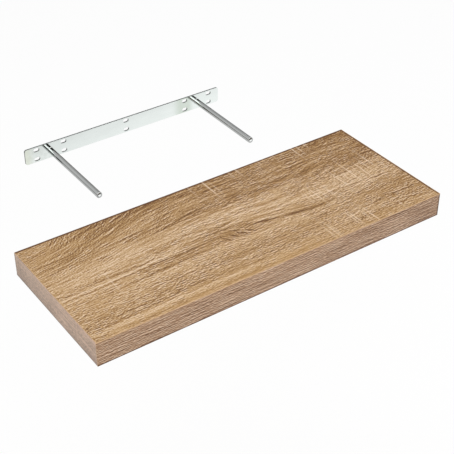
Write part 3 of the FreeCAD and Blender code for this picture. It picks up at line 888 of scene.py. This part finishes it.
class SHELF_OT_stage(bpy.types.Operator):
    """Sets up the camera, the pale floor and the soft studio light"""

    bl_idname = "shelf.stage"
    bl_label = "Studio"

    def execute(self, context):
        scene = context.scene
        sizes = scene.shelf_sizes
        scene.view_settings.view_transform = "Standard"

        let_go()
        bpy.ops.object.camera_add(location=CAMERA_PLACE,
                                  rotation=CAMERA_LOOK.to_track_quat("-Z", "Y").to_euler())
        camera = context.object
        camera.name = "camera"
        camera.data.lens = CAMERA_LENS
        camera.data.sensor_width = CAMERA_SENSOR
        camera.data.clip_start = 0.05
        scene.camera = camera

        let_go()
        bpy.ops.mesh.primitive_plane_add(size=FLOOR_SIZE,
                                         location=(*FLOOR_MIDDLE, -sizes.floor_drop))
        floor = named("studio_floor")
        settle(floor)
        wear(floor, self.paper())

        self.world(scene)
        for name, place, size, power in LAMPS:
            let_go()
            aim = board_middle() - Vector(place)
            bpy.ops.object.light_add(type="AREA", location=place,
                                     rotation=aim.to_track_quat("-Z", "Y").to_euler())
            lamp = context.object
            lamp.name = name
            lamp.data.size = size
            lamp.data.energy = power
        return {"FINISHED"}

    @staticmethod
    def rays(start):
        """1 where the camera or glass looks at the studio, and 1 where a mirror does."""
        path = start.node("LightPath").socket.node
        camera, glossy, glass = [Pin(start.tree, path.outputs[name]) for name in
                                 ("Is Camera Ray", "Is Glossy Ray", "Is Transmission Ray")]
        return start.maths("MAXIMUM", camera, glass), glossy

    def paper(self):
        """White paper floor that keeps a faint shadow. In a mirror it is white just in front of
        the shelf on the right, grey elsewhere, and ends in a black studio."""
        material = bpy.data.materials.new("studio_floor")
        start = empty_tree(material)
        seen, mirrored = self.rays(start)
        right, away, _ = start.node("TexCoord", output="Object").split()
        bright = right.step(-0.15, 0.15) * (1.0 - away.step(-0.50, -0.15))
        shine = (0.50 + 0.47 * bright) * away.step(-1.80, -1.40) + 0.02
        matt = start.node("BsdfDiffuse", values={"Color": PAPER})
        tone = start.blend(mirrored, WHITE, start.vector(shine, shine, shine))
        white = start.node("Emission", values={"Color": tone, "Strength": 1.0})
        factor = start.maths("MAXIMUM", seen, mirrored) * FLOOR_GLOW
        mixed = start.node("MixShader", values={0: factor, 1: matt, 2: white})
        start.node("OutputMaterial", values={"Surface": mixed})
        return material

    def world(self, scene):
        """White behind everything; a plain grey light; and for mirrors the walls of a studio: grey
        to the rear and sides, black to the front with a paler strip high up."""
        scene.world = bpy.data.worlds.new("studio")
        start = empty_tree(scene.world)
        seen, mirrored = self.rays(start)
        right, away, up = start.node("TexCoord", output="Generated").split()

        def wall(*stops):
            """A grey wall by the height of the view: pairs of height, from -1 to 1, and grey."""
            return (up * 0.5 + 0.5).ramp(*[((height + 1) / 2, (grey, grey, grey))
                                           for height, grey in stops])

        rear = wall((-0.20, 0.52), (-0.06, 0.26), (0.06, 0.26), (0.26, 0.54), (0.60, 0.56),
                    (0.74, 0.40))
        rear = start.blend(right.step(-0.05, 0.35) * 0.40, rear, BLACK)
        front = wall((-0.4, 0.02), (0.60, 0.02), (0.70, 0.50))
        walls = start.blend(away.step(-0.08, 0.08), front, rear)
        sides = start.maths("ABSOLUTE", right).step(0.78, 0.92)
        walls = start.blend(sides, walls, wall((-0.1, 0.50), (0.05, 0.34), (0.5, 0.55)))
        light = start.node("Background", values={"Color": WHITE, "Strength": WORLD_LIGHT})
        studio = start.node("Background", values={"Color": walls, "Strength": 1.0})
        white = start.node("Background", values={"Color": WHITE, "Strength": 1.0})
        shown = start.node("MixShader", values={0: mirrored, 1: light, 2: studio})
        shown = start.node("MixShader", values={0: seen, 1: shown, 2: white})
        start.node("OutputWorld", values={"Surface": shown})


class SHELF_OT_wall_plate(bpy.types.Operator):
    """Models the zinc-plated wall plate with its screw slots and the seats of the rods"""

    bl_idname = "shelf.wall_plate"
    bl_label = "Wall plate"

    def execute(self, context):
        sizes = context.scene.shelf_sizes
        low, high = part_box("wall_plate")
        piece = start_box("zinc_wall_plate", low, high)
        edit(piece)
        choose(piece, "EDGE", lambda edge: along(edge, 1))
        bpy.ops.mesh.bevel(offset=sizes.plate_corner, segments=9, affect="EDGES")
        bpy.ops.object.mode_set(mode="OBJECT")
        seats = [(rod_axis(node), 0.0, SEAT_RADIUS, 0.0) for node in ("left_rod", "right_rod")]
        drill(piece, slot_places() + seats, low.y, high.y)
        break_edges(piece, sizes.plate_rounding)
        look = context.scene.shelf_colours
        wear(piece, zinc_flat(look), zinc_cut(look))
        second_finish(piece, lambda face: abs(face.normal.y) < SIDE_FACING)
        fit(piece, "bracket", "zinc_plate", "wall_plate")
        return {"FINISHED"}


class SHELF_OT_rods(bpy.types.Operator):
    """Turns the two zinc-plated rods, each with a domed tip and a riveted tenon"""

    bl_idname = "shelf.rods"
    bl_label = "Rods"

    def execute(self, context):
        sizes = context.scene.shelf_sizes
        low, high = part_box("left_rod")
        radius = (high.x - low.x) / 2
        tip, wall = low.y, high.y
        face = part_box("wall_plate")[0].y
        rounding = sizes.rod_rounding
        flat = radius - rounding
        dome = [(tip + sizes.rod_dome * part * part, flat * part)
                for part in (0.0, 0.25, 0.5, 0.75, 1.0)]
        turns = [math.radians(90 * step / TIP_STEPS) for step in range(1, TIP_STEPS + 1)]
        corner = [(tip + sizes.rod_dome + rounding * (1 - math.cos(turn)),
                   flat + rounding * math.sin(turn)) for turn in turns]
        profile = (
            *dome,
            *corner,
            (corner[-1][0] + SHAFT_START, radius),
            *[(tip + place, radius) for place in SHAFT_RINGS],
            *[(face + place, radius + wider) for place, wider in ROD_COLLAR],
            (face + TENON_START, TENON_RADIUS),
            *[(wall + place, left) for place, left in ROD_RIVET],
        )
        finish = zinc_round(context.scene.shelf_colours)
        first = lathe("zinc_rod_left", profile, rod_axis("left_rod"))
        take(first)
        bpy.ops.object.shade_smooth_by_angle(angle=math.radians(35))
        wear(first, finish)
        bpy.ops.object.duplicate(linked=False)
        second = named("zinc_rod_right")
        second.location.x = rod_axis("right_rod") - rod_axis("left_rod")
        settle(second)
        fit(first, "bracket", "zinc_rod", "left_rod")
        fit(second, "bracket", "zinc_rod", "right_rod")
        return {"FINISHED"}


class SHELF_OT_skins(bpy.types.Operator):
    """Models the board's two skins, oak print outside and sawn fibreboard round the edge"""

    bl_idname = "shelf.skins"
    bl_label = "Board skins"

    def execute(self, context):
        sizes, look = context.scene.shelf_sizes, context.scene.shelf_colours
        middle = board_middle()
        edge = fibreboard(look)
        for name, node, outward, finish in (
                ("oak_top", "top_skin", 1.0,
                 oak_print("oak_print_top", middle, 0.0, look, painted_edge_shade=True)),
                ("oak_underside", "bottom_skin", -1.0,
                 oak_print("oak_print_underside", middle + UNDERSIDE_SHIFT, math.pi, look,
                           painted_edge_shade=False))):
            piece = start_box(name, *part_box(node))
            break_edges(piece, sizes.skin_rounding)
            wear(piece, finish, edge)
            second_finish(piece, lambda face: face.normal.z * outward < SIDE_FACING)
            fit(piece, "board", "oak_print", node)
        return {"FINISHED"}


class SHELF_OT_edge_bands(bpy.types.Operator):
    """Models the bands on the front and the two ends of the board, rounded along their edges"""

    bl_idname = "shelf.edge_bands"
    bl_label = "Edge bands"

    def execute(self, context):
        sizes, look = context.scene.shelf_sizes, context.scene.shelf_colours
        edge = band_edge(look)
        end = end_print(look)
        for name, node, outward, slot, finish in (
                ("band_front", "front_edge_band", Vector((0, -1, 0)), "front_band",
                 front_print(look)),
                ("band_left", "left_edge_band", Vector((-1, 0, 0)), "end_band", end),
                ("band_right", "right_edge_band", Vector((1, 0, 0)), "end_band", end)):
            low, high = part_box(node)
            piece = start_box(name, low, high)
            reach = max(outward.dot(low), outward.dot(high)) - HAIR
            edit(piece)
            choose(piece, "EDGE",
                   lambda part: all(outward.dot(vertex.co) > reach for vertex in part.verts))
            bpy.ops.mesh.bevel(offset=sizes.band_rounding, segments=4, affect="EDGES")
            bpy.ops.object.mode_set(mode="OBJECT")
            take(piece)
            bpy.ops.object.shade_smooth_by_angle(angle=math.radians(30))
            wear(piece, finish, edge)
            second_finish(piece, lambda face: face.normal.dot(outward) < BAND_FACING)
            fit(piece, "board", slot, node)
        return {"FINISHED"}


class SHELF_OT_rear_rails(bpy.types.Operator):
    """Models the chipboard that shows at the rear: the bored rear rail and the two end rails"""

    bl_idname = "shelf.rear_rails"
    bl_label = "Rear chipboard"

    def execute(self, context):
        sizes = context.scene.shelf_sizes
        finish = chipboard(context.scene.shelf_colours)
        bores = []
        for opening in frame["record"]["physics"]["openings"]:
            if "rod_socket" in opening["name"]:
                (left, _, _), (right, _, _) = opening["box_m"]
                bores.append(((left + right) / 2, 0.0, SOCKET_RADIUS, 0.0))
        for name, node, places in (("chipboard_rear", "rear_rail", bores),
                                   ("chipboard_left", "left_end_rail", []),
                                   ("chipboard_right", "right_end_rail", [])):
            low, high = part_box(node)
            piece = start_box(name, low, high)
            if places:
                drill(piece, places, low.y, high.y)
            break_edges(piece, sizes.rail_rounding)
            wear(piece, finish)
            fit(piece, "board", "chipboard", node)
        return {"FINISHED"}


class SHELF_OT_inside(bpy.types.Operator):
    """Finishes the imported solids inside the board: rails in chipboard, honeycomb in kraft paper"""

    bl_idname = "shelf.inside"
    bl_label = "Inside of the board"

    def execute(self, context):
        finishes = {
            "chipboard": bpy.data.materials.get("raw_chipboard"),
            "kraft_paper": kraft_paper(context.scene.shelf_colours),
        }
        if finishes["chipboard"] is None:
            raise RuntimeError("run the rear chipboard operator first: it makes this finish")
        for part in frame["record"]["subparts"]:
            node = frame["nodes"][part["node"]]
            if not node.hide_render:
                wear(node, finishes[part["material_slot"]])
        return {"FINISHED"}


OPERATORS = (SHELF_OT_stage, SHELF_OT_wall_plate, SHELF_OT_rods, SHELF_OT_skins,
             SHELF_OT_edge_bands, SHELF_OT_rear_rails, SHELF_OT_inside)


class SHELF_PT_sidebar(bpy.types.Panel):
    """Sizes, colours and steps of the shelf"""

    bl_idname = "SHELF_PT_sidebar"
    bl_label = "Floating wall shelf"
    bl_space_type = "VIEW_3D"
    bl_region_type = "UI"
    bl_category = "Shelf"

    def draw(self, context):
        for title, group in (("Sizes", context.scene.shelf_sizes),
                             ("Colours", context.scene.shelf_colours)):
            box = self.layout.box()
            box.label(text=title)
            for name in group.__annotations__:
                box.prop(group, name)
        for operator in OPERATORS:
            self.layout.operator(operator.bl_idname)


CLASSES = (ShelfSizes, ShelfColours, *OPERATORS, SHELF_PT_sidebar)


def register():
    """Adds the classes and the two groups of settings."""
    for made in CLASSES:
        bpy.utils.register_class(made)
    bpy.types.Scene.shelf_sizes = bpy.props.PointerProperty(type=ShelfSizes)
    bpy.types.Scene.shelf_colours = bpy.props.PointerProperty(type=ShelfColours)


def unregister():
    """Takes away what register() added."""
    del bpy.types.Scene.shelf_colours
    del bpy.types.Scene.shelf_sizes
    for made in reversed(CLASSES):
        bpy.utils.unregister_class(made)


def main():
    """Builds the shelf in its studio."""
    register()
    bpy.ops.shelf.stage()
    bpy.ops.shelf.wall_plate()
    bpy.ops.shelf.rods()
    bpy.ops.shelf.skins()
    bpy.ops.shelf.edge_bands()
    bpy.ops.shelf.rear_rails()
    bpy.ops.shelf.inside()


if __name__ == "__main__":
    main()
